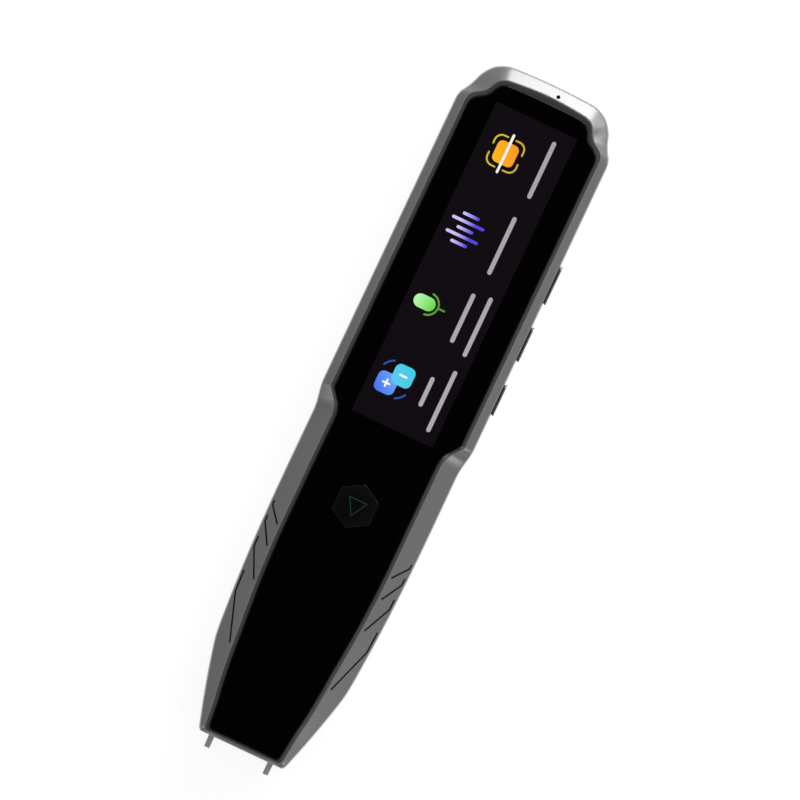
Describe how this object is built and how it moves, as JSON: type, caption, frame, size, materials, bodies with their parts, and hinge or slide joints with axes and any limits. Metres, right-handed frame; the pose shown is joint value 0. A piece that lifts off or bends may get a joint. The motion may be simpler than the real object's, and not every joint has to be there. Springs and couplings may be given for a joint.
{
  "type": "scanning pen",
  "caption": "Handheld scanning pen with a strip touchscreen, home key, side buttons, back loudspeaker grille and a sprung guide at the scanning nose.",
  "frame": {"origin": "middle of the pen's bounding box, on the plane of the flat of its back", "axes": "+Z out of the screen, +Y from the scanning nose to the top end, +X to the side with the buttons"},
  "size_m": [0.036, 0.1588, 0.0131],
  "materials": {
    "satin_grey": "satin, fine metallic paint",
    "trim_grey": "satin",
    "black_glass": "polished, printed black behind",
    "screen": "lit strip display behind the glass",
    "key_black": "satin gloss",
    "pale_grey": "moulded, fine matt",
    "window_black": "polished filter",
    "speaker_black": "matt",
    "rubber": "matt foam and rubber",
    "mesh_steel": "fine woven, blackened",
    "board_green": "solder mask",
    "chip_black": "moulded",
    "ribbon": "flexible film",
    "steel": "stamped",
    "foil_silver": "tinned sheet",
    "cell_foil": "laminated foil pouch",
    "pale_ceramic": "fired",
    "lead_red": "insulation",
    "lead_black": "insulation",
    "lamp_white": "lens"
  },
  "bodies": {
    "body": {"rear_cover": "satin_grey", "front_frame": "satin_grey", "bezel_ring": "trim_grey", "cover_glass": "black_glass", "display_panel": "screen", "display_flex": "ribbon", "home_key_switch": "chip_black", "power_switch": "steel", "volume_up_switch": "steel", "volume_down_switch": "steel", "side_button_flex": "ribbon", "side_button_bracket": "steel", "main_board": "board_green", "board_screw_1": "steel", "board_screw_2": "steel", "board_screw_3": "steel", "board_screw_4": "steel", "shield_can": "foil_silver", "processor": "chip_black", "memory_chip": "chip_black", "storage_chip": "chip_black", "wireless_module": "foil_silver", "antenna": "pale_ceramic", "battery": "cell_foil", "battery_pad": "rubber", "battery_connector": "pale_grey", "battery_lead_red": "lead_red", "battery_lead_black": "lead_black", "charging_port": "steel", "speaker": "speaker_black", "speaker_gasket": "rubber", "speaker_mesh": "mesh_steel", "top_microphone": "foil_silver", "microphone_gasket": "rubber", "scan_window": "window_black", "tip_switch": "chip_black", "tip_switch_flex": "ribbon", "optics_chamber": "speaker_black", "camera_lens": "speaker_black", "camera_module": "chip_black", "camera_board": "board_green", "camera_flex": "ribbon", "lamp_left": "lamp_white", "lamp_right": "lamp_white"},
    "key": {"home_key": "key_black"},
    "power": {"power_button": "satin_grey"},
    "volume_up": {"volume_up_button": "satin_grey"},
    "volume_down": {"volume_down_button": "satin_grey"},
    "guide": {"scan_guide": "pale_grey"}
  },
  "joints": [
    {"name": "home_key_press", "type": "slide", "parent": "body", "child": "key", "axis": [0, 0, -1], "range_m": [0, 0.0004], "stiffness_N_per_m": 1500, "springref_m": -0.0003},
    {"name": "power_button_press", "type": "slide", "parent": "body", "child": "power", "axis": [-1, 0, 0], "range_m": [0, 0.00035], "stiffness_N_per_m": 1500, "springref_m": -0.0003},
    {"name": "volume_up_button_press", "type": "slide", "parent": "body", "child": "volume_up", "axis": [-1, 0, 0], "range_m": [0, 0.00035], "stiffness_N_per_m": 1500, "springref_m": -0.0003},
    {"name": "volume_down_button_press", "type": "slide", "parent": "body", "child": "volume_down", "axis": [-1, 0, 0], "range_m": [0, 0.00035], "stiffness_N_per_m": 1500, "springref_m": -0.0003},
    {"name": "scan_guide_press", "type": "slide", "parent": "body", "child": "guide", "axis": [0, 1, 0], "range_m": [0, 0.0008], "stiffness_N_per_m": 600, "springref_m": -0.0008}
  ]
}
